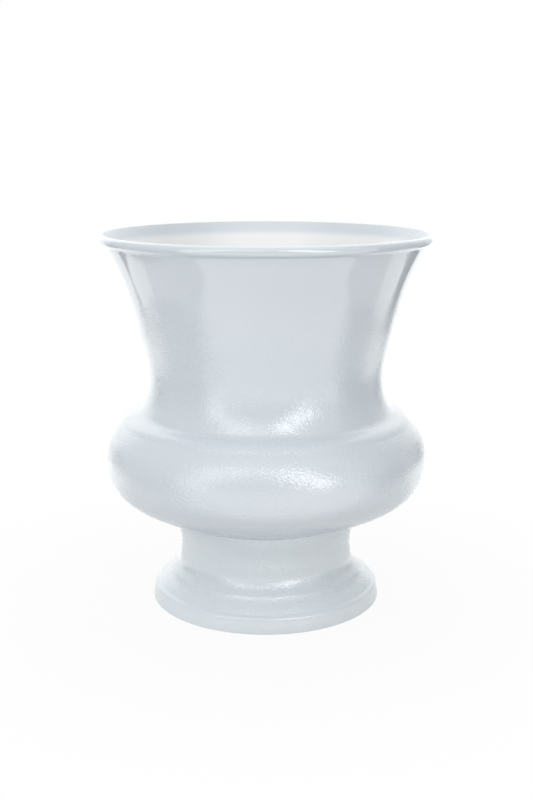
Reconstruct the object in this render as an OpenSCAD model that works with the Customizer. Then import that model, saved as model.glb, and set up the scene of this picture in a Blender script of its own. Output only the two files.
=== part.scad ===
// Florist's plastic urn: a thin blow-moulded bowl that snaps into a hollow pedestal foot.
// The axis is Z, the urn stands on z = 0, and every size is taken on the outside.
// The bowl grows outwards from its waist, and the foot and the snap joint from the foot's neck.

/* [Lip and funnel] */
// Outer radius over the rolled lip
lip_r = 104.4; // [96:0.1:116]
// Diameter of the round bead that the lip is rolled to
lip_d = 6; // [4:0.1:9]
// How far the inside of the wall lies inwards of the bead's middle, since the lip is rolled outwards
lip_inset = 1.7; // [1.2:0.1:2.2]
// Rounding of the inner top edge of the lip
lip_edge_r = 1; // [0.6:0.1:1.4]
// Lean of the funnel wall from upright where it enters the lip, in degrees
lip_lean = 24; // [18:0.5:36]
// Radius of the fillet that fairs the outside of the wall into the bead
lip_blend_r = 1.2; // [0.6:0.1:2.5]
// Height of the flared upper part of the funnel
flared_h = 56; // [44:0.5:70]
// Lean of the cone from upright, in degrees
cone_lean = 14; // [8:0.5:20]
// Height of the cone from the waist to the flare
cone_h = 34; // [24:0.5:46]
// How far the cone widens from the waist to the flare
cone_out = 6.6; // [4:0.1:10]
// Outer radius of the waist, the narrowest place of the funnel
waist_r = 74.6; // [68:0.1:77]

/* [Shoulder] */
// Height from the upper groove to the waist
sweep_h = 22; // [14:0.5:30]
// How far the sweep runs out from the waist to the upper groove, where the raised band begins
sweep_out = 6.6; // [4:0.1:12]
// Height of the raised band between its two grooves
band_h = 6.2; // [4:0.1:9]
// How far the band runs out from the upper groove to the lower one, where the bulb begins
band_out = 10.8; // [8:0.1:14]

/* [Bulb] */
// Height from the widest place of the bulb to the lower groove
bulb_top_h = 23.6; // [16:0.2:32]
// Outer radius of the bulb at its widest
bulb_r = 102.6; // [99:0.1:115]
// Height from the seat on the foot to the widest place of the bulb
bulb_bottom_h = 39.2; // [30:0.2:50]
// Slope of the bulb's underside where it meets the foot, in degrees
underside_slope = 21; // [14:0.5:26]
// Wall of the bowl
bowl_wall = 1.8; // [1.2:0.1:2.6]

/* [Foot] */
// Height from the neck, the narrowest place of the foot, to the seat of the bowl
neck_h = 19.2; // [17:0.1:28]
// Outer radius of the neck
neck_r = 55.7; // [50:0.1:58]
// Outward flare of the foot from the neck to its top edge
neck_flare = 2.6; // [1.6:0.1:4]
// Height from the top of the ring to the neck
flare_h = 15; // [10:0.1:24]
// How far the foot flares out from the neck to the top of the ring
flare_out = 5.1; // [3:0.1:9]
// Height of the raised ring
ring_h = 3.8; // [2.5:0.1:5]
// How far the ring runs out from its top to its bottom
ring_out = 3.4; // [2.5:0.1:5]
// Height of the skirt between the ring and the base band
skirt_h = 7.9; // [6:0.1:12]
// How far the skirt runs out from the ring to the groove above the base band
skirt_out = 6.9; // [5:0.1:10]
// Height of the base band
base_h = 9.1; // [7:0.1:14]
// How far the base band stands out from the groove above it
base_out = 3.4; // [3:0.1:5]
// Taper of the base band, how much its lower edge is drawn in
base_taper = 0.5; // [0.3:0.05:1.5]
// Wall of the foot
foot_wall = 2; // [1.4:0.1:2.8]

/* [Snap joint] */
// Wall left in the neck round the socket
socket_wall = 2.4; // [1.8:0.1:3]
// Depth of the bowl's stub below the seat
stub_depth = 12; // [11:0.5:15]
// Radial gap between the stub and the socket
fit_gap = 0.3; // [0.2:0.05:0.5]
// Height that the snap bead stands out of the stub
snap_h = 0.9; // [0.6:0.05:1.2]
// Depth of the snap bead's middle below the seat
snap_drop = 6.5; // [5:0.1:7.5]

/* [Hidden] */

// Colour of the moulded plastic
plastic = [0.82, 0.85, 0.88];

// Heights stacked from the ground up
base_groove_z = base_h;
ring_bottom_z = base_groove_z + skirt_h;
ring_top_z = ring_bottom_z + ring_h;
neck_z = ring_top_z + flare_h;
seat_z = neck_z + neck_h;
bulb_z = seat_z + bulb_bottom_h;
lower_groove_z = bulb_z + bulb_top_h;
upper_groove_z = lower_groove_z + band_h;
waist_z = upper_groove_z + sweep_h;
cone_z = waist_z + cone_h;
urn_h = cone_z + flared_h;

// Radii of the bowl, led by the waist
cone_r = waist_r + cone_out;
upper_groove_r = waist_r + sweep_out;
lower_groove_r = upper_groove_r + band_out;

// Radii of the foot, led by the neck
ring_top_r = neck_r + flare_out;
ring_bottom_r = ring_top_r + ring_out;
base_groove_r = ring_bottom_r + skirt_out;
base_r = base_groove_r + base_out;

// Radii of the joint, led by the neck too
socket_r = neck_r - socket_wall;
stub_r = socket_r - fit_gap;
foot_top_r = neck_r + neck_flare;
// Width of the dark crease between the foot's top edge and the bulb
crease_w = 1.2;
land_r = foot_top_r - crease_w;
// Rounding of the foot's top edge
top_edge_r = 0.6;
// Chamfer at the mouth of the socket, which clears the fillet at the root of the stub
socket_lead = 0.9;
stub_root_r = 0.6;
// Rounding under the stub, and the rise of its floor towards the middle
stub_edge_r = 2.4;
floor_rise = 1.6;
// Straight length of the socket below the stub
socket_run = 1;
// Rounding of the rim where the bowl's floor drops into the well inside the stub
rim_r = 1.2;

// Depth of the rounded upper edge of the base band, and the chamfer under the band
base_edge_h = 4.4;
base_chamfer = 0.5;

// Radius of the snap bead's round section, and the gap round it in its groove
snap_r = 1.2;

// Number of straight pieces in a long curve, a short one, a small fillet and the bead of the lip
long_steps = 28;
short_steps = 8;
fillet_steps = 5;
lip_steps = 28;
$fn = 180;

// Reach of each curve's two handles, as shares of the distance between its ends
flared_shares = [0.3, 0.48];
cone_shares = [0.34, 0.3];
sweep_shares = [0.48, 0.3];
band_shares = [0.4, 0.42];
bulb_top_shares = [0.34, 0.41];
bulb_bottom_shares = [0.388, 0.558];
neck_shares = [0.5, 0.5];
flare_shares = [0.49, 0.42];
ring_shares = [0.38, 0.4];
skirt_shares = [0.28, 0.25];
even_shares = [0.4, 0.4];

// Turns in degrees, and headings from the outward direction for a walk down the outside
half_turn = 180;
square_turn = 90;
down = -square_turn;
inward = -half_turn;
sweep_end = -58;
band_start = -20;
band_end = -60;
bulb_start = -43;
flare_end = -43;
ring_start = -25;
ring_end = -56;
skirt_start = -48;
skirt_end = -56;
base_start = -18;

function heading(angle) = [cos(angle), sin(angle)];

// Cubic curve from p to q that leaves p and reaches q along the given headings
function curve(p, leave, q, reach, shares, steps) =
    let (
        chord = norm(q - p),
        a = p + shares[0] * chord * heading(leave),
        b = q - shares[1] * chord * heading(reach)
    )
    [for (i = [1:steps])
        let (t = i / steps, s = 1 - t)
        s * s * s * p + 3 * s * s * t * a + 3 * s * t * t * b + t * t * t * q];

// Circular arc about c, from one angle to another
function arc(c, r, from, to, steps) =
    [for (i = [0:steps]) c + r * heading(from + (to - from) * i / steps)];

// The points of a line drawn down the outside, moved inwards by the wall
function inset(points, wall) =
    [for (i = [0:len(points) - 1])
        let (
            before = points[max(i - 1, 0)],
            after = points[min(i + 1, len(points) - 1)],
            along = (after - before) / norm(after - before)
        )
        points[i] + wall * [along[1], -along[0]]];

function reversed(points) = [for (i = [len(points) - 1:-1:0]) points[i]];

// The points without the first, for a stretch that starts where the one before it ends
function tail(points) = [for (i = [1:len(points) - 1]) points[i]];

// Lip: a round bead rolled outwards, with its inner side flush with the inside of the leaning wall
lip_bead_r = lip_d / 2;
lip_c = [lip_r - lip_bead_r, urn_h - lip_bead_r];
wall_heading = down - lip_lean;
wall_out = heading(wall_heading + square_turn);
edge_side = lip_inset - lip_edge_r;
edge_rise = sqrt(pow(lip_bead_r - lip_edge_r, 2) - pow(edge_side, 2));
edge_turn = wall_heading + half_turn + atan2(edge_side, edge_rise);
edge_c = lip_c + (lip_bead_r - lip_edge_r) * heading(edge_turn);
blend_side = bowl_wall - lip_inset + lip_blend_r;
blend_drop = sqrt(pow(lip_bead_r + lip_blend_r, 2) - pow(blend_side, 2));
blend_turn = wall_heading + atan2(blend_side, blend_drop);
blend_c = lip_c + (lip_bead_r + lip_blend_r) * heading(blend_turn);
funnel_start = blend_c - lip_blend_r * wall_out;
inner_turn = wall_heading + half_turn + square_turn;
lip_outside = concat(
    arc(edge_c, lip_edge_r, inner_turn, edge_turn, fillet_steps),
    tail(arc(lip_c, lip_bead_r, edge_turn, blend_turn, lip_steps)),
    tail(arc(blend_c, lip_blend_r, blend_turn + half_turn, inner_turn, fillet_steps))
);

// Outside of the bowl, from under the lip down to the edge of its flat land
cone_p = [cone_r, cone_z];
waist_p = [waist_r, waist_z];
upper_groove_p = [upper_groove_r, upper_groove_z];
lower_groove_p = [lower_groove_r, lower_groove_z];
bulb_p = [bulb_r, bulb_z];
land_p = [land_r, seat_z];
bowl_outside = concat(
    curve(funnel_start, wall_heading, cone_p, down - cone_lean, flared_shares, long_steps),
    curve(cone_p, down - cone_lean, waist_p, down, cone_shares, short_steps),
    curve(waist_p, down, upper_groove_p, sweep_end, sweep_shares, long_steps),
    curve(upper_groove_p, band_start, lower_groove_p, band_end, band_shares, short_steps),
    curve(lower_groove_p, bulb_start, bulb_p, down, bulb_top_shares, long_steps),
    curve(bulb_p, down, land_p, inward + underside_slope, bulb_bottom_shares, long_steps)
);

// Stub under the bowl, outside and inside, walked from the land to the axis
stub_z = seat_z - stub_depth;
floor_r = stub_r - stub_edge_r;
snap_z = seat_z - snap_drop;
snap_c_r = stub_r + snap_h - snap_r;
snap_angle = acos((stub_r - snap_c_r) / snap_r);
stub_outside = concat(
    [[stub_r + stub_root_r, seat_z], [stub_r, seat_z - stub_root_r]],
    arc([snap_c_r, snap_z], snap_r, snap_angle, -snap_angle, short_steps),
    arc([floor_r, stub_z + stub_edge_r], stub_edge_r, 0, down, short_steps),
    curve([floor_r, stub_z], inward, [0, stub_z + floor_rise], inward, even_shares, short_steps)
);
well_r = stub_r - bowl_wall;
well_floor_z = stub_z + bowl_wall;
land_top_z = seat_z + bowl_wall;
stub_inside = concat(
    [[0, well_floor_z + floor_rise]],
    curve([0, well_floor_z + floor_rise], 0, [floor_r, well_floor_z], 0, even_shares, short_steps),
    tail(arc([floor_r, stub_z + stub_edge_r], stub_edge_r - bowl_wall, down, 0, fillet_steps)),
    arc([well_r + rim_r, land_top_z - rim_r], rim_r, half_turn, square_turn, fillet_steps)
);

// Inside of the bowl: the outside moved in by the wall, down to the top of the land
bowl_inside = [for (p = tail(inset(bowl_outside, bowl_wall))) if (p[1] > land_top_z) p];

module bowl() {
    color(plastic)
        rotate_extrude()
            polygon(concat(
                bowl_outside,
                stub_outside,
                stub_inside,
                reversed(bowl_inside),
                lip_outside
            ));
}

// Outside of the foot, from its top edge down to the groove above the base band
neck_p = [neck_r, neck_z];
ring_top_p = [ring_top_r, ring_top_z];
ring_bottom_p = [ring_bottom_r, ring_bottom_z];
base_groove_p = [base_groove_r, base_groove_z];
foot_edge_p = [foot_top_r, seat_z - top_edge_r];
foot_flank = concat(
    curve(neck_p, down, ring_top_p, flare_end, flare_shares, long_steps),
    curve(ring_top_p, ring_start, ring_bottom_p, ring_end, ring_shares, short_steps),
    curve(ring_bottom_p, skirt_start, base_groove_p, skirt_end, skirt_shares, short_steps)
);
foot_outside = concat(
    arc([foot_top_r - top_edge_r, seat_z - top_edge_r], top_edge_r, square_turn, 0, fillet_steps),
    curve(foot_edge_p, down, neck_p, down, neck_shares, long_steps),
    foot_flank
);

// Base band, from its groove round the edge and down to the chamfer above the ground
base_edge_p = [base_r, base_groove_z - base_edge_h];
base_low_p = [base_r - base_taper, base_chamfer];
base_band = concat(
    curve(base_groove_p, base_start, base_edge_p, down, even_shares, short_steps),
    curve(base_edge_p, down, base_low_p, down, even_shares, short_steps)
);

// Inside of the foot: the flank and the band moved in by the wall, then the socket with its snap groove
foot_inset = inset(concat(foot_flank, base_band), foot_wall);
socket_end_z = stub_z - socket_run;
snap_groove_r = snap_r + fit_gap;
snap_groove_angle = acos((socket_r - snap_c_r) / snap_groove_r);
foot_inside = concat(
    [[base_low_p[0] - foot_wall, 0]],
    reversed([for (p = foot_inset) if (p[0] > socket_r) p]),
    [[socket_r, socket_end_z]],
    arc([snap_c_r, snap_z], snap_groove_r, -snap_groove_angle, snap_groove_angle, short_steps),
    [[socket_r, seat_z - socket_lead], [socket_r + socket_lead, seat_z]]
);

module foot() {
    color(plastic)
        rotate_extrude()
            polygon(concat(foot_outside, base_band, [[base_low_p[0] - base_chamfer, 0]], foot_inside));
}

bowl();
foot();
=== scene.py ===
from math import acos, atan2, cos, degrees, hypot, pi, radians, sin, sqrt

import bpy
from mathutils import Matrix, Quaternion, Vector


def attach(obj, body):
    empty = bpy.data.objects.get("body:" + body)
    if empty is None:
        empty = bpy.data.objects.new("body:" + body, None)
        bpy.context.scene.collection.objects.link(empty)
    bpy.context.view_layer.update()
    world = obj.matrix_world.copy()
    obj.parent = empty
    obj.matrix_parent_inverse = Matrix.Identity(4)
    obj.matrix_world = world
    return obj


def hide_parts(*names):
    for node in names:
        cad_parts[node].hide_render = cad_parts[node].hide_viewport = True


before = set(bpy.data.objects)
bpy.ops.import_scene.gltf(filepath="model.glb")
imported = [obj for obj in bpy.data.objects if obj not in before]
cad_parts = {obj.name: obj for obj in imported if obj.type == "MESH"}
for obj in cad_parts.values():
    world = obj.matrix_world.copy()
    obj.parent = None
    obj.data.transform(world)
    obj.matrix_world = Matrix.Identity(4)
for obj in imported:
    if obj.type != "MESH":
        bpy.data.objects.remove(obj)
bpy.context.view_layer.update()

# A pale blue-grey plastic urn in two mouldings, a bowl that snaps into a hollow foot.
# Outlines are drawn in millimetres on the right-hand side of the axis, as (radius, height).
# The studio and the camera are placed in metres.

MM = 0.001

# Lip and funnel
lip_r = 104.36
lip_d = 6
lip_inset = 1.7
lip_edge_r = 1
lip_lean = 24
lip_blend_r = 1.8
flared_h = 56
cone_lean = 14
cone_h = 34
cone_out = 6.6
waist_r = 74.6

# Shoulder
sweep_h = 22
sweep_out = 6.6
band_h = 6.2
band_out = 10.8

# Bulb
bulb_top_h = 23.6
bulb_r = 102.6
bulb_bottom_h = 39.2
underside_slope = 21
bowl_wall = 1.8

# Foot
neck_h = 19.2
neck_r = 55.7
neck_flare = 2.6
flare_h = 15
flare_out = 4.0
ring_h = 3.8
ring_out = 3.2
skirt_h = 8.6
skirt_out = 9.7
skirt_edge_h = 2.8
skirt_edge_out = 3.1
base_h = 8.4
base_out = 1.3
foot_wall = 2

# Snap joint
socket_wall = 2.4
stub_depth = 12
fit_gap = 0.3
snap_h = 0.9
snap_drop = 6.5
snap_r = 1.2

# Small roundings and edges
crease_w = 0.3
top_edge_r = 0.4
socket_lead = 0.9
stub_root_r = 0.6
stub_edge_r = 2.4
floor_rise = 1.6
socket_run = 1
rim_r = 1.2
base_chamfer = 0.5

# How far from its corner each rounding of the mould starts
upper_groove_round = 2.2
lower_groove_round = 1.2
land_round = 0.2
ring_top_round = 2.0
ring_bottom_round = 1.6
base_groove_round = 0.3
round_steps = 6

# Heights stacked from the ground up
base_groove_z = base_h
ring_bottom_z = base_groove_z + skirt_h
ring_top_z = ring_bottom_z + ring_h
neck_z = ring_top_z + flare_h
seat_z = neck_z + neck_h
bulb_z = seat_z + bulb_bottom_h
lower_groove_z = bulb_z + bulb_top_h
upper_groove_z = lower_groove_z + band_h
waist_z = upper_groove_z + sweep_h
cone_z = waist_z + cone_h
urn_h = cone_z + flared_h

# Radii of the bowl from its waist, of the foot from its neck
cone_r = waist_r + cone_out
upper_groove_r = waist_r + sweep_out
lower_groove_r = upper_groove_r + band_out
ring_top_r = neck_r + flare_out
ring_bottom_r = ring_top_r + ring_out
base_groove_r = ring_bottom_r + skirt_out
base_r = base_groove_r + base_out
foot_top_r = neck_r + neck_flare
land_r = foot_top_r - crease_w

# The stub under the bowl and its snap bead
socket_r = neck_r - socket_wall
stub_r = socket_r - fit_gap
stub_z = seat_z - stub_depth
floor_r = stub_r - stub_edge_r
snap_z = seat_z - snap_drop
snap_c_r = stub_r + snap_h - snap_r

# Reach of each curve's two handles, as shares of the distance between its ends
flared_shares = (0.3, 0.48)
cone_shares = (0.34, 0.3)
sweep_shares = (0.48, 0.3)
band_shares = (0.4, 0.42)
bulb_top_shares = (0.34, 0.41)
bulb_bottom_shares = (0.388, 0.558)
neck_shares = (0.5, 0.5)
flare_shares = (0.42, 0.5)
ring_shares = (0.38, 0.4)
skirt_shares = (0.3, 0.3)
skirt_edge_shares = (0.35, 0.4)
base_shares = (0.3, 0.4)
even_shares = (0.4, 0.4)

# Turns in degrees, and headings from the outward direction for a walk down the outside
half_turn = 180
square_turn = 90
down = -square_turn
inward = -half_turn
sweep_end = -58
band_start = -20
band_end = -60
bulb_start = -43
flare_end = -42
ring_start = -31
ring_end = -53
skirt_start = -40
skirt_end = -46
skirt_edge_end = -94
base_start = -83
base_end = -84

# Points along a long curve, a short one and a small fillet, and steps round the axis
long_steps = 34
short_steps = 12
fillet_steps = 5
lip_steps = 32
turn_steps = 180

# Points closer than this, in metres, are one point: in a section, after its turn, and at a corner to round
same_point = 1e-7
same_turned_point = 1e-6
same_corner = 1e-5

# Faces that meet at less than this angle are shaded as one smooth surface
smooth_angle = 40


def heading(angle):
    return Vector((cos(radians(angle)), sin(radians(angle))))


def curve(start, leave, end, reach, shares, steps):
    """Cubic curve that leaves its start along one heading and reaches its end along the other.
    The shares set its two handles, and its start isn't among the points."""
    start, end = Vector(start), Vector(end)
    distance = (end - start).length
    first = start + shares[0] * distance * heading(leave)
    second = end - shares[1] * distance * heading(reach)
    line = []
    for i in range(1, steps + 1):
        t = i / steps
        s = 1 - t
        line.append(s * s * s * start + 3 * s * s * t * first + 3 * s * t * t * second + t * t * t * end)
    return line


def arc(centre, radius, start, end, steps):
    """Points on a circle, from one heading as seen from its centre to the other."""
    turns = [start + (end - start) * i / steps for i in range(steps + 1)]
    return [Vector(centre) + radius * heading(turn) for turn in turns]


def inset(line, wall):
    """A line drawn down the outside, moved inwards by the wall."""
    moved = []
    for i, point in enumerate(line):
        before = line[max(i - 1, 0)]
        after = line[min(i + 1, len(line) - 1)]
        along = (after - before).normalized()
        moved.append(point + wall * Vector((along.y, -along.x)))
    return moved


def lip_line():
    """The rolled lip: a round bead outside the wall, its inner side flush with the wall's inside.
    Also gives the place and the heading at which the outside of the wall leaves the lip."""
    bead_r = lip_d / 2
    centre = Vector((lip_r - bead_r, urn_h - bead_r))
    lean = down - lip_lean
    edge_side = lip_inset - lip_edge_r
    edge_rise = sqrt((bead_r - lip_edge_r) ** 2 - edge_side ** 2)
    edge_turn = lean + half_turn + degrees(atan2(edge_side, edge_rise))
    edge = centre + (bead_r - lip_edge_r) * heading(edge_turn)
    blend_side = bowl_wall - lip_inset + lip_blend_r
    blend_drop = sqrt((bead_r + lip_blend_r) ** 2 - blend_side ** 2)
    blend_turn = lean + degrees(atan2(blend_side, blend_drop))
    blend = centre + (bead_r + lip_blend_r) * heading(blend_turn)
    inner_turn = lean + half_turn + square_turn
    line = (
        arc(edge, lip_edge_r, inner_turn, edge_turn, fillet_steps)
        + arc(centre, bead_r, edge_turn, blend_turn, lip_steps)[1:]
        + arc(blend, lip_blend_r, blend_turn + half_turn, inner_turn, fillet_steps)[1:]
    )
    return blend - lip_blend_r * heading(lean + square_turn), lean, line


def bowl_outside_line(start, lean):
    """The outside of the bowl, from under the lip down to the edge of its flat land."""
    cone = (cone_r, cone_z)
    waist = (waist_r, waist_z)
    upper = (upper_groove_r, upper_groove_z)
    lower = (lower_groove_r, lower_groove_z)
    bulb = (bulb_r, bulb_z)
    land = (land_r, seat_z)
    return (
        curve(start, lean, cone, down - cone_lean, flared_shares, long_steps)
        + curve(cone, down - cone_lean, waist, down, cone_shares, short_steps)
        + curve(waist, down, upper, sweep_end, sweep_shares, long_steps)
        + curve(upper, band_start, lower, band_end, band_shares, short_steps)
        + curve(lower, bulb_start, bulb, down, bulb_top_shares, long_steps)
        + curve(bulb, down, land, inward + underside_slope, bulb_bottom_shares, long_steps)
    )


def stub_line():
    """The outside of the stub that plugs into the foot, from the land down and in to the axis."""
    turn = degrees(acos((stub_r - snap_c_r) / snap_r))
    return (
        [Vector((stub_r + stub_root_r, seat_z)), Vector((stub_r, seat_z - stub_root_r))]
        + arc((snap_c_r, snap_z), snap_r, turn, -turn, short_steps)
        + arc((floor_r, stub_z + stub_edge_r), stub_edge_r, 0, down, short_steps)
        + curve((floor_r, stub_z), inward, (0, stub_z + floor_rise), inward, even_shares, short_steps)
    )


def well_line():
    """The well inside the stub, from the axis out and up over its rim."""
    well_r = stub_r - bowl_wall
    well_z = stub_z + bowl_wall
    rim_z = seat_z + bowl_wall - rim_r
    middle = Vector((0, well_z + floor_rise))
    return (
        [middle]
        + curve(middle, 0, (floor_r, well_z), 0, even_shares, short_steps)
        + arc((floor_r, stub_z + stub_edge_r), stub_edge_r - bowl_wall, down, 0, fillet_steps)[1:]
        + arc((well_r + rim_r, rim_z), rim_r, half_turn, square_turn, fillet_steps)
    )


def bowl_line():
    """The bowl's whole section, from the axis under the stub up the outside, over the lip and down inside.
    It stays open, because both of its ends are on the axis."""
    start, lean, lip = lip_line()
    outside = bowl_outside_line(start, lean)
    inside = [point for point in inset(outside, bowl_wall)[1:] if point.y > seat_z + bowl_wall]
    return list(reversed(outside + stub_line())) + list(reversed(lip)) + inside + list(reversed(well_line()))


def flank_line():
    """The outside of the foot, from its neck down to the chamfer above the ground."""
    neck = (neck_r, neck_z)
    ring_top = (ring_top_r, ring_top_z)
    ring_bottom = (ring_bottom_r, ring_bottom_z)
    skirt_edge = (base_groove_r - skirt_edge_out, base_groove_z + skirt_edge_h)
    groove = (base_groove_r, base_groove_z)
    base_low = (base_r, base_chamfer)
    return (
        curve(neck, down, ring_top, flare_end, flare_shares, long_steps)
        + curve(ring_top, ring_start, ring_bottom, ring_end, ring_shares, short_steps)
        + curve(ring_bottom, skirt_start, skirt_edge, skirt_end, skirt_shares, short_steps)
        + curve(skirt_edge, skirt_end, groove, skirt_edge_end, skirt_edge_shares, short_steps)
        + curve(groove, base_start, base_low, base_end, base_shares, short_steps)
    )


def socket_line():
    """The socket in the foot's neck, from below the stub up past the snap groove to the lead at its mouth."""
    snap_groove_r = snap_r + fit_gap
    turn = degrees(acos((socket_r - snap_c_r) / snap_groove_r))
    return (
        [Vector((socket_r, stub_z - socket_run))]
        + arc((snap_c_r, snap_z), snap_groove_r, -turn, turn, short_steps)
        + [Vector((socket_r, seat_z - socket_lead)), Vector((socket_r + socket_lead, seat_z))]
    )


def foot_line():
    """The foot's whole section as a closed loop, from the top edge down the outside and back up inside."""
    neck = (neck_r, neck_z)
    edge_z = seat_z - top_edge_r
    flank = flank_line()
    return (
        arc((foot_top_r - top_edge_r, edge_z), top_edge_r, square_turn, 0, fillet_steps)
        + curve((foot_top_r, edge_z), down, neck, down, neck_shares, long_steps)
        + flank
        + [Vector((base_r - base_chamfer, 0)), Vector((base_r - foot_wall, 0))]
        + [point for point in reversed(inset(flank, foot_wall)) if point.x > socket_r]
        + socket_line()
    )


# Modelling by hand

def clear_selection():
    for thing in bpy.context.selected_objects:
        thing.select_set(False)
    bpy.context.view_layer.objects.active = None


def draw_line(name, line, closed):
    """One vertex, extruded from point to point along the section, in the plane y = 0."""
    clear_selection()
    first = line[0]
    bpy.ops.mesh.primitive_plane_add(size=2 * MM, location=(first.x * MM, 0, first.y * MM))
    piece = bpy.context.object
    piece.name = piece.data.name = name
    bpy.ops.object.transform_apply(location=True, rotation=True, scale=True)
    bpy.ops.object.mode_set(mode="EDIT")
    bpy.ops.mesh.select_all(action="SELECT")
    bpy.ops.mesh.merge(type="CENTER")
    bpy.ops.mesh.select_mode(type="VERT")
    walk = line + [first] if closed else line
    for here, there in zip(walk, walk[1:]):
        step = (there - here) * MM
        if step.length > same_point:
            bpy.ops.mesh.extrude_vertices_move(TRANSFORM_OT_translate={"value": (step.x, 0, step.y)})
    bpy.ops.mesh.select_all(action="SELECT")
    bpy.ops.mesh.remove_doubles(threshold=same_point)
    bpy.ops.object.mode_set(mode="OBJECT")
    return piece


def pick(piece, test, kind="vertices"):
    """Selects just the vertices or faces that pass the test, in object mode."""
    for part in (piece.data.vertices, piece.data.edges, piece.data.polygons):
        for one in part:
            one.select = False
    for one in getattr(piece.data, kind):
        one.select = test(one)


def soften(piece, corner, width):
    """Rounds one sharp corner of the section, as a mould does: the points near it go, and it is bevelled."""
    r, z = corner[0] * MM, corner[1] * MM
    pick(piece, lambda v: same_corner < hypot(v.co.x - r, v.co.z - z) < width * MM)
    bpy.ops.object.mode_set(mode="EDIT")
    bpy.ops.mesh.dissolve_verts()
    bpy.ops.object.mode_set(mode="OBJECT")
    pick(piece, lambda v: hypot(v.co.x - r, v.co.z - z) < same_corner)
    bpy.ops.object.mode_set(mode="EDIT")
    bpy.ops.mesh.bevel(offset=width * MM, segments=round_steps, affect="VERTICES", clamp_overlap=True)
    bpy.ops.object.mode_set(mode="OBJECT")


def turn_round(piece):
    """Spins the section round the axis and closes the seam and the poles."""
    bpy.ops.object.mode_set(mode="EDIT")
    bpy.ops.mesh.select_all(action="SELECT")
    bpy.ops.mesh.spin(steps=turn_steps, angle=2 * pi, center=(0, 0, 0), axis=(0, 0, 1))
    bpy.ops.mesh.select_all(action="SELECT")
    bpy.ops.mesh.remove_doubles(threshold=same_turned_point)
    bpy.ops.mesh.normals_make_consistent(inside=False)
    bpy.ops.object.mode_set(mode="OBJECT")
    bpy.ops.object.shade_smooth_by_angle(angle=radians(smooth_angle))


# Materials: one class wraps a socket, so that shader maths reads as plain sums

def feed(tree, node, inputs):
    """Sets each named input of a node to a value, or links a wrapped socket to it."""
    for name, value in inputs.items():
        if isinstance(value, Sock):
            tree.links.new(value.socket, node.inputs[name])
        else:
            node.inputs[name].default_value = value


class Sock:
    def __init__(self, tree, socket):
        self.tree = tree
        self.socket = socket

    def node(self, kind, settings=None, inputs=None, out=0):
        """Adds a node of that type with its settings first, then its socket values or links.
        Gives the output that was asked for, or no socket where the node has no output."""
        made = self.tree.nodes.new(kind)
        for name, value in (settings or {}).items():
            setattr(made, name, value)
        feed(self.tree, made, inputs or {})
        return Sock(self.tree, made.outputs[out] if made.outputs else None)

    def math(self, operation, *values):
        return self.node("ShaderNodeMath", {"operation": operation}, dict(enumerate(values)))

    def __add__(self, other):
        return self.math("ADD", self, other)

    def __sub__(self, other):
        return self.math("SUBTRACT", self, other)

    def __rsub__(self, other):
        return self.math("SUBTRACT", other, self)

    def __mul__(self, other):
        return self.math("MULTIPLY", self, other)

    __radd__ = __add__
    __rmul__ = __mul__

    def ramp(self, low, high):
        """0 below low, 1 above high, and a smooth step between."""
        return self.node(
            "ShaderNodeMapRange",
            {"interpolation_type": "SMOOTHSTEP"},
            {"Value": self, "From Min": low, "From Max": high, "To Min": 0.0, "To Max": 1.0},
        )

    def mix(self, first, second):
        """Mixes two colours by this value."""
        return self.node("ShaderNodeMix", {"data_type": "RGBA"}, {0: self, 6: first, 7: second}, out=2)

    def noise(self, scale, detail):
        """Soft noise over these coordinates: scale is its repeats in a metre, detail its finer layers."""
        return self.node("ShaderNodeTexNoise", inputs={"Vector": self, "Scale": scale, "Detail": detail})

    def cells(self, scale, out):
        """Cells over these coordinates: how far a point lies from its cell's middle, or the cell's colour."""
        return self.node("ShaderNodeTexVoronoi", {"feature": "F1"}, {"Vector": self, "Scale": scale}, out)


# Colours of the bowl, the foot, the inside, the few dark specks and the studio; the foot and the inside are
# painted lighter than the bowl, as painted light
PALE = (0.65, 0.705, 0.75, 1)
PALER = (0.67, 0.722, 0.765, 1)
# The foot's plastic, painted lighter than the bowl's: painted light on its up-facing skirt
FOOT_PAINTED_LIGHTER = (0.73, 0.785, 0.825, 1)
FOOT_PALER_PAINTED_LIGHTER = (0.75, 0.802, 0.84, 1)
# The inside's plastic, painted whiter than the bowl's: a painted glow of light through the thin wall
INNER_PAINTED_GLOW = (0.84, 0.85, 0.855, 1)
INNER_PALER_PAINTED_GLOW = (0.86, 0.87, 0.87, 1)
SPECK = (0.2, 0.22, 0.24, 1)
WHITE = (1, 1, 1, 1)

# How often each pattern repeats in a metre
clouds_per_m = 9.0
specks_per_m = 62.0
grains_per_m = 900.0
crumbs_per_m = 800.0
patches_per_m = 60.0
waves_per_m = 26.0

# Levels of the noise between which the clouds and the patches go from low to high
cloud_levels = (0.35, 0.65)
patch_levels = (0.3, 0.7)

# The core and the edge of a speck, as distances in its cell, and the chance above which a cell has one
speck_edge = (0.018, 0.034)
speck_chance = (0.90, 0.91)

# The pebble is grains with crumbs among them, which have this much of a grain's depth
crumb_depth = 0.8

# Its depth in a low patch, what a high patch adds, and what it gains below the shoulder
patch_least = 0.6
patch_more = 0.5
coarse_more = 0.35

# What is left of its depth on the base band, and the heights between which it regains the rest
base_band_depth = 0.35
base_band_low = 9
base_band_high = 12.5

# Heights between which the clouds, and inside the bowl the painted glow, give way to the even colour of the
# lip
lip_low = 226
lip_high = 231

# How much the pebble, the patches and the coarser pebble below the shoulder dull the gloss
pebble_dulls = 0.07
patch_dulls = 0.06
coarse_dulls = 0.02


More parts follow.
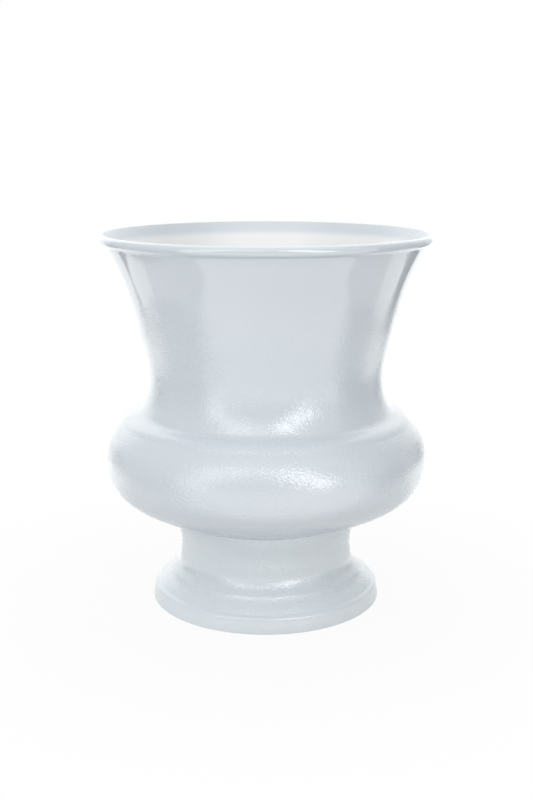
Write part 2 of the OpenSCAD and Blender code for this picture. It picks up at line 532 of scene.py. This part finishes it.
def moulded_plastic(name, colours, pebble_depth, wave_depth, gloss, fade):
    """Glossy pale plastic: an even colour with faint clouds, a mould's pebble and slow waves in the wall.
    fade holds the two heights between which the pebble runs out towards the lip."""
    material = bpy.data.materials.new(name)
    material.use_nodes = True
    tree = material.node_tree
    place = Sock(tree, None).node("ShaderNodeTexCoord", out="Object")
    place = place.node("ShaderNodeMapping", inputs={"Vector": place})
    height = place.node("ShaderNodeSeparateXYZ", inputs={"Vector": place}, out="Z")

    speck_kind = place.cells(specks_per_m, "Color")
    chance = place.node("ShaderNodeSeparateColor", inputs={"Color": speck_kind})
    speck = (1 - place.cells(specks_per_m, "Distance").ramp(*speck_edge)) * chance.ramp(*speck_chance)
    cloudy = place.noise(clouds_per_m, 3.0).ramp(*cloud_levels).mix(*colours)
    # Below the lip the inside keeps its whiter colour, a painted glow; on the lip every finish turns to the
    # plain pale colour
    lip = height.ramp(lip_low * MM, lip_high * MM)

    grains = place.node(
        "ShaderNodeTexVoronoi",
        {"feature": "SMOOTH_F1"},
        {"Vector": place, "Scale": grains_per_m, "Smoothness": 0.6},
        out="Distance",
    )
    crumbs = place.noise(crumbs_per_m, 2.0)
    patches = place.noise(patches_per_m, 2.0)
    waves = place.noise(waves_per_m, 1.0)
    above_band = height.ramp(base_band_low * MM, base_band_high * MM)
    low_fade = base_band_depth + above_band * (1 - base_band_depth)
    pebbled = (1 - height.ramp(fade[0] * MM, fade[1] * MM)) * low_fade
    coarse = 1 - height.ramp(lower_groove_z * MM, upper_groove_z * MM)
    patchy = patch_least + patches.ramp(*patch_levels) * patch_more
    depth = (grains + crumbs * crumb_depth) * patchy * pebbled * (1 + coarse * coarse_more)
    fine = place.node(
        "ShaderNodeBump", inputs={"Strength": 1.0, "Distance": pebble_depth * MM, "Height": depth}
    )
    slow = place.node(
        "ShaderNodeBump",
        inputs={"Strength": 1.0, "Distance": wave_depth * MM, "Height": waves, "Normal": fine},
    )
    feed(tree, tree.nodes["Principled BSDF"], {
        "Base Color": speck.mix(lip.mix(cloudy, PALE), SPECK),
        "Roughness": gloss + pebbled * pebble_dulls + patches * patch_dulls + coarse * coarse_dulls,
        "Normal": slow,
        "IOR": 1.5,
        "Specular IOR Level": 0.9,
    })
    return material


def dress(piece, outer, inner, is_inner):
    """The pebbled finish outside, and the smooth one, painted whiter as a painted glow, on the faces that
    pass the test.
    """
    piece.data.materials.append(outer)
    piece.data.materials.append(inner)
    pick(piece, is_inner, "polygons")
    piece.active_material_index = 1
    bpy.ops.object.mode_set(mode="EDIT")
    bpy.ops.object.material_slot_assign()
    bpy.ops.object.mode_set(mode="OBJECT")
    for face in piece.data.polygons:
        face.select = False


def faces_inwards(face):
    return face.normal.x * face.center.x + face.normal.y * face.center.y < 0


def inside_or_below_seat(face):
    return faces_inwards(face) or face.center.z < seat_z * MM


pebbled_gloss = moulded_plastic(
    "pebbled gloss plastic", (PALE, PALER),
    pebble_depth=0.14, wave_depth=0.35, gloss=0.06, fade=(176, 216),
)
# The foot's finish: the bowl's plastic painted lighter, as painted light on the foot
foot_gloss_painted_lighter = moulded_plastic(
    "pebbled plastic painted lighter for light", (FOOT_PAINTED_LIGHTER, FOOT_PALER_PAINTED_LIGHTER),
    pebble_depth=0.16, wave_depth=0.35, gloss=0.04, fade=(176, 216),
)
# The inside's finish, painted whiter as a painted glow of light through the wall, which stops at the lip
smooth_gloss_painted_glow = moulded_plastic(
    "smooth gloss plastic with painted glow", (INNER_PAINTED_GLOW, INNER_PALER_PAINTED_GLOW),
    pebble_depth=0.004, wave_depth=0.25, gloss=0.3, fade=(186, 222),
)

bowl = draw_line("urn_bowl", bowl_line(), closed=False)
soften(bowl, (upper_groove_r, upper_groove_z), upper_groove_round)
soften(bowl, (lower_groove_r, lower_groove_z), lower_groove_round)
soften(bowl, (land_r, seat_z), land_round)
turn_round(bowl)
dress(bowl, pebbled_gloss, smooth_gloss_painted_glow, inside_or_below_seat)
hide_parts("bowl")
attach(bowl, "root")

foot = draw_line("urn_foot", foot_line(), closed=True)
soften(foot, (ring_top_r, ring_top_z), ring_top_round)
soften(foot, (ring_bottom_r, ring_bottom_z), ring_bottom_round)
soften(foot, (base_groove_r, base_groove_z), base_groove_round)
turn_round(foot)
dress(foot, foot_gloss_painted_lighter, smooth_gloss_painted_glow, faces_inwards)
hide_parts("foot")
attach(foot, "root")


# Studio: a white floor and surroundings, soft boxes, screens and the camera

# The floor, which is fully white away from the urn's shadow
floor_size = 6
floor_drop = 0.0003
floor_matt = (0.66, 0.66, 0.66, 1)
shadow_r = 0.1
clear_r = 0.3
white_in_shadow = 0.93

# The light of the surroundings: its level, more from above, and less towards the right and the left
studio_level = 1.2
more_above = 0.3
less_right = 0.65
less_left = 0.35
least_at = 0.8

# Soft boxes: their distance from the point of the axis that they face, and their power at a glow of 1
box_distance = 1.4
aim_z = 0.12
watts_per_m2 = 4

# Corners of the row of screens that stands round the urn, from its right front round the back
right_front = (0.31, -0.13)
right_side = (0.50, 0.20)
right_back = (0.43, 0.31)
back_right = (0.35, 0.39)
back_left = (-0.42, 0.32)
left_side = (-0.47, 0.24)
left_front = (-0.27, -0.22)

# Heights of the screens, and of a card that lies on the floor
card_h = 0.8
grey_h = 0.35
strip_h = 0.14
lying_card_z = 0.001

# The camera, in front of the urn and looking a little down
camera_place = (0, -0.7317, 0.2925)
camera_tilt = 12.593
camera_lens = 52.55
camera_sensor = 36
camera_shift = 0.000875


def seen_white(start):
    """1 for what the camera sees itself or in a gloss, and 0 for the light that falls on the urn."""
    camera_ray = start.node("ShaderNodeLightPath", out="Is Camera Ray")
    glossy_ray = start.node("ShaderNodeLightPath", out="Is Glossy Ray")
    through_ray = start.node("ShaderNodeLightPath", out="Is Transmission Ray")
    return (camera_ray + glossy_ray + through_ray).ramp(0, 1)


def bare_nodes(owner):
    """The emptied node tree of a material or a world, wrapped so that nodes can be added."""
    owner.use_nodes = True
    owner.node_tree.nodes.clear()
    return Sock(owner.node_tree, None)


def white_floor():
    clear_selection()
    bpy.ops.mesh.primitive_plane_add(size=floor_size, location=(0, 0, -floor_drop))
    floor = bpy.context.object
    floor.name = floor.data.name = "studio_floor"
    bpy.ops.object.transform_apply(location=True, rotation=True, scale=True)
    material = bpy.data.materials.new("white studio floor")
    start = bare_nodes(material)
    matt = start.node("ShaderNodeBsdfDiffuse", inputs={"Color": floor_matt})
    glow = start.node("ShaderNodeEmission", inputs={"Color": WHITE, "Strength": 1.0})
    place = start.node("ShaderNodeTexCoord", out="Object")
    away = start.node("ShaderNodeVectorMath", {"operation": "LENGTH"}, {0: place}, out="Value")
    whiteness = away.ramp(shadow_r, clear_r) * (1 - white_in_shadow) + white_in_shadow
    seen = start.node("ShaderNodeMixShader", inputs={0: seen_white(start) * whiteness, 1: matt, 2: glow})
    seen.node("ShaderNodeOutputMaterial", inputs={"Surface": seen})
    floor.data.materials.append(material)


def white_surroundings():
    """White to the camera and in the gloss, and a plain soft light on the urn."""
    world = bpy.data.worlds.new("white studio")
    bpy.context.scene.world = world
    start = bare_nodes(world)
    way = start.node("ShaderNodeTexCoord", out="Generated")
    right = start.node("ShaderNodeSeparateXYZ", inputs={"Vector": way}, out="X")
    up = start.node("ShaderNodeSeparateXYZ", inputs={"Vector": way}, out="Z")
    above = up.ramp(0, 1) * more_above
    dim_right = right.ramp(0, least_at) * less_right
    dim_left = right.ramp(0, -least_at) * less_left
    light = studio_level + above - dim_right - dim_left
    white = seen_white(start)
    strength = white + (1 - white) * light
    glow = start.node("ShaderNodeBackground", inputs={"Color": WHITE, "Strength": strength})
    glow.node("ShaderNodeOutputWorld", inputs={"Surface": glow})


def seen_in_gloss_only(thing):
    thing.visible_camera = False
    thing.visible_diffuse = False
    thing.visible_shadow = False


def bearing(azimuth, elevation):
    """A direction from the urn. Azimuth is counted from the camera's side towards its right."""
    return Vector((
        sin(radians(azimuth)) * cos(radians(elevation)),
        -cos(radians(azimuth)) * cos(radians(elevation)),
        sin(radians(elevation)),
    ))


def soft_box(name, azimuth, elevation, roll, width, height, glow):
    """A soft box that faces the urn and only shows as a highlight.
    Roll turns it about its own middle, its top leaning to the camera's left."""
    data = bpy.data.lights.new(name, "AREA")
    data.shape = "RECTANGLE"
    data.size = width
    data.size_y = height
    data.energy = watts_per_m2 * width * height * glow
    box = bpy.data.objects.new(name, data)
    bpy.context.scene.collection.objects.link(box)
    side = bearing(azimuth, elevation)
    box.location = Vector((0, 0, aim_z)) + side * box_distance
    box.rotation_euler = (side.to_track_quat("Z", "Y") @ Quaternion((0, 0, 1), radians(roll))).to_euler()
    seen_in_gloss_only(box)


def card(name, glow):
    """A card of one even brightness, 1 m square before it is shaped."""
    clear_selection()
    bpy.ops.mesh.primitive_plane_add(size=1, location=(0, 0, 0))
    piece = bpy.context.object
    piece.name = piece.data.name = name
    material = bpy.data.materials.new(name)
    light = bare_nodes(material).node("ShaderNodeEmission", inputs={"Color": WHITE, "Strength": glow})
    light.node("ShaderNodeOutputMaterial", inputs={"Surface": light})
    piece.data.materials.append(material)
    seen_in_gloss_only(piece)
    return piece


def screen(name, start, end, height, glow):
    """A card that stands on the floor from one place to the other and shows in the urn's gloss."""
    piece = card(name, glow)
    run = Vector((end[0] - start[0], end[1] - start[1], 0))
    piece.scale = (run.length, height, 1)
    piece.rotation_euler = (radians(square_turn), 0, atan2(run.y, run.x))
    piece.location = ((start[0] + end[0]) / 2, (start[1] + end[1]) / 2, height / 2)
    bpy.ops.object.transform_apply(location=True, rotation=True, scale=True)


def floor_card(name, width, front_y, back_y, turn, glow):
    """A card that lies on the floor from front_y to back_y, in front of the urn or behind it."""
    piece = card(name, glow)
    piece.scale = (width, back_y - front_y, 1)
    piece.location = (0, (front_y + back_y) / 2, lying_card_z)
    piece.rotation_euler = (0, 0, radians(turn))
    bpy.ops.object.transform_apply(location=True, rotation=True, scale=True)


def camera():
    data = bpy.data.cameras.new("camera")
    data.sensor_width = camera_sensor
    data.lens = camera_lens
    data.shift_x = camera_shift
    data.dof.use_dof = False
    seen_from = bpy.data.objects.new("camera", data)
    bpy.context.scene.collection.objects.link(seen_from)
    seen_from.location = camera_place
    seen_from.rotation_euler = (radians(square_turn - camera_tilt), 0, 0)
    bpy.context.scene.camera = seen_from


white_floor()
white_surroundings()
soft_box("right_front_box", azimuth=29, elevation=20, roll=32, width=0.42, height=1.25, glow=3.2)
soft_box("left_front_box", azimuth=-41, elevation=18, roll=-22, width=0.42, height=1.3, glow=1.2)
soft_box("right_high_box", azimuth=18, elevation=40, roll=0, width=0.6, height=0.4, glow=0.5)
soft_box("left_high_box", azimuth=-18, elevation=40, roll=0, width=0.6, height=0.4, glow=1.3)
floor_card("front_paper", width=3, front_y=-1.2, back_y=-0.16, turn=7, glow=1.9)
floor_card("back_paper", width=1.2, front_y=0.08, back_y=0.7, turn=0, glow=1.6)
screen("right_flag", right_front, right_side, card_h, glow=0.2)
screen("right_grey_card", right_side, right_back, grey_h, glow=0.5)
screen("right_strip", right_back, back_right, strip_h, glow=0.1)
screen("back_card", back_right, back_left, card_h, glow=1.5)
screen("left_strip", back_left, left_side, strip_h, glow=0.05)
screen("left_flag", left_side, left_front, card_h, glow=0.4)
camera()
bpy.context.scene.view_settings.view_transform = "Standard"
